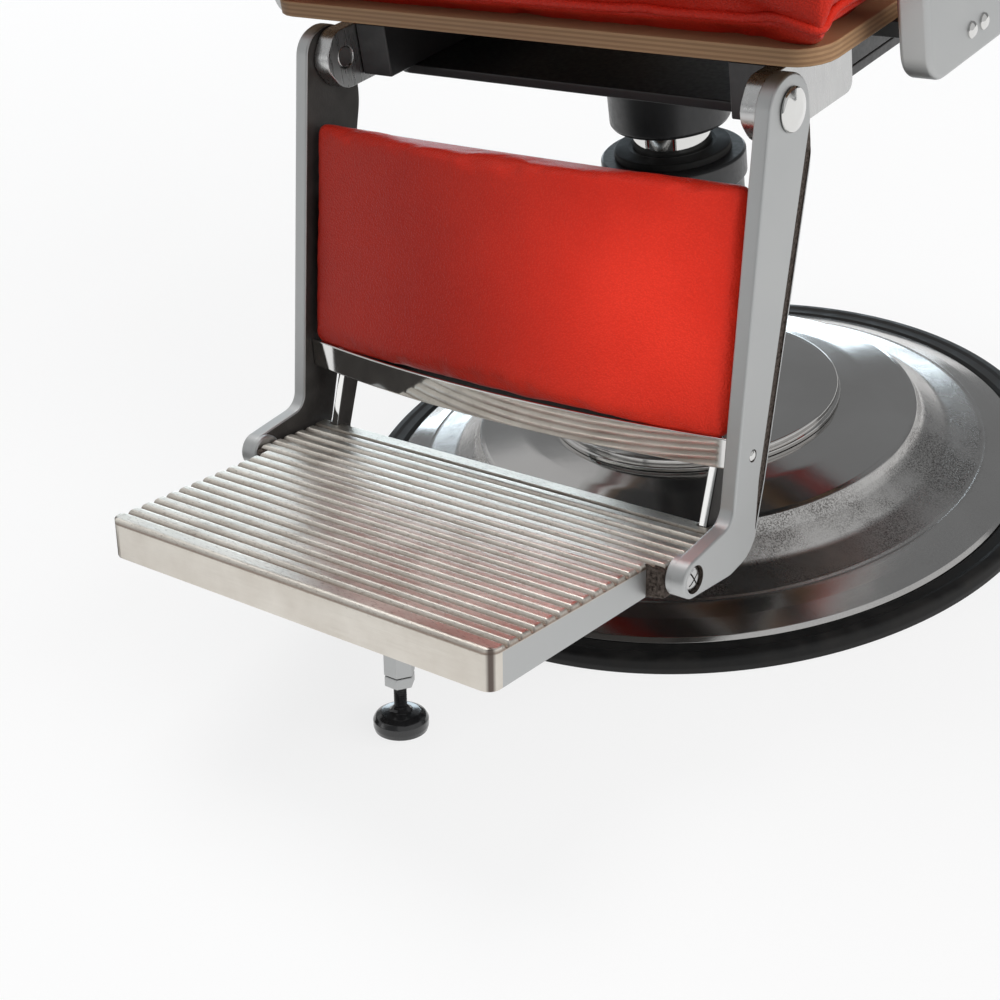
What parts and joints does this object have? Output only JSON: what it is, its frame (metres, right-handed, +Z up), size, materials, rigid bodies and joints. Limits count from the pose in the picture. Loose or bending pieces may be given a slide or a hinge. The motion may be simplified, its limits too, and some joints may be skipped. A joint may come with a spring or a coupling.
{
  "type": "hydraulic barber chair",
  "caption": "Barber chair on a round base with a foot-pumped column, ribbed cast foot plate on two arms, padded leg rest, seat, arms, reclining back and sliding headrest.",
  "frame": {"origin": "centre of the round base on the floor", "axes": "+Z up, the chair faces -Y, +X on the right of a person standing in front of the chair"},
  "size_m": [0.6063, 1.0073, 1.1608],
  "materials": {
    "cast_aluminium": "satin, brushed casting",
    "polished_base": "polished",
    "chrome_trim": "mirror",
    "bright_steel": "satin",
    "black_paint": "satin",
    "black_rubber": "smooth",
    "red_leather": "lightly grained",
    "plywood": "sanded"
  },
  "bodies": {
    "base": {"base_tyre": "black_rubber", "base_plate": "bright_steel", "base_casting": "polished_base", "column_flange": "polished_base", "pump_casing": "black_paint", "ram_seal": "black_rubber", "valve_block": "bright_steel", "lever_pin": "bright_steel"},
    "lift_ram": {"ram": "chrome_trim"},
    "foot_pump": {"pump_lever": "chrome_trim", "pump_pedal": "black_rubber"},
    "seat": {"seat_socket": "black_paint", "seat_top_plate": "black_paint", "seat_rail_left": "black_paint", "seat_rail_right": "black_paint", "cross_bar_front": "black_paint", "cross_bar_rear": "black_paint", "seat_board": "plywood", "seat_cushion": "red_leather", "arm_casting_left": "cast_aluminium", "arm_casting_right": "cast_aluminium", "arm_pad_left": "red_leather", "arm_pad_right": "red_leather", "back_hinge_left": "black_paint", "back_hinge_right": "black_paint", "back_pin_left": "bright_steel", "back_pin_right": "bright_steel", "leg_hinge_left": "bright_steel", "leg_hinge_right": "bright_steel", "leg_hinge_pin_left": "chrome_trim", "leg_hinge_pin_right": "chrome_trim"},
    "recline_handle": {"recline_lever": "chrome_trim", "recline_knob": "black_rubber"},
    "back": {"back_strap_left": "bright_steel", "back_strap_right": "bright_steel", "back_shell": "black_paint", "back_cushion": "red_leather", "headrest_guide": "bright_steel"},
    "headrest_stem": {"headrest_post": "chrome_trim", "headrest_pin": "bright_steel"},
    "headrest": {"headrest_yoke": "black_paint", "headrest_cushion": "red_leather"},
    "leg_rest": {"leg_arm_left": "cast_aluminium", "leg_arm_right": "cast_aluminium", "leg_tie_tube": "bright_steel", "step_brace_left": "bright_steel", "step_brace_right": "bright_steel", "calf_pad": "red_leather", "calf_strip": "chrome_trim", "calf_board": "black_paint", "strip_block_left": "black_paint", "strip_block_right": "black_paint", "calf_bracket_left": "bright_steel", "calf_bracket_right": "bright_steel", "step_screw_left": "chrome_trim", "step_screw_right": "chrome_trim", "foot_plate": "cast_aluminium", "foot_standoff": "chrome_trim", "foot_lock_nut": "chrome_trim"},
    "levelling_screw": {"levelling_foot": "black_rubber"}
  },
  "joints": [
    {"name": "lift", "type": "slide", "parent": "base", "child": "lift_ram", "axis": [0, 0, 1], "range_m": [0, 0.16]},
    {"name": "swivel", "type": "hinge", "parent": "lift_ram", "child": "seat", "pos_m": [0, 0, 0.35], "axis": [0, 0, 1], "continuous": true},
    {"name": "recline", "type": "hinge", "parent": "seat", "child": "back", "pos_m": [0, 0.345, 0.47], "axis": [-1, 0, 0], "range_deg": [0, 50]},
    {"name": "leg_swing", "type": "hinge", "parent": "seat", "child": "leg_rest", "pos_m": [0, -0.166, 0.412], "axis": [-1, 0, 0], "range_deg": [0, 60]},
    {"name": "headrest_height", "type": "slide", "parent": "back", "child": "headrest_stem", "axis": [0, 0.2419, 0.9703], "range_m": [0, 0.09]},
    {"name": "headrest_tilt", "type": "hinge", "parent": "headrest_stem", "child": "headrest", "pos_m": [0, 0.49815, 1.0677], "axis": [-1, 0, 0], "range_deg": [-10, 20]},
    {"name": "pump_stroke", "type": "hinge", "parent": "base", "child": "foot_pump", "pos_m": [-0.07275, 0.042, 0.122], "axis": [-0.5, -0.866, 0], "range_deg": [0, 14], "stiffness_Nm_per_rad": 30, "springref_deg": -20.05},
    {"name": "recline_release", "type": "hinge", "parent": "seat", "child": "recline_handle", "pos_m": [0.29, 0.07, 0.441], "axis": [-1, 0, 0], "range_deg": [0, 22], "stiffness_Nm_per_rad": 2.5, "springref_deg": -22.92},
    {"name": "foot_adjust", "type": "slide", "parent": "leg_rest", "child": "levelling_screw", "axis": [0, 0.1959, 0.9806], "range_m": [0, 0.012]}
  ],
  "couplings": [
    {"joint": "leg_swing", "follows": "recline", "ratio": 1.2}
  ]
}
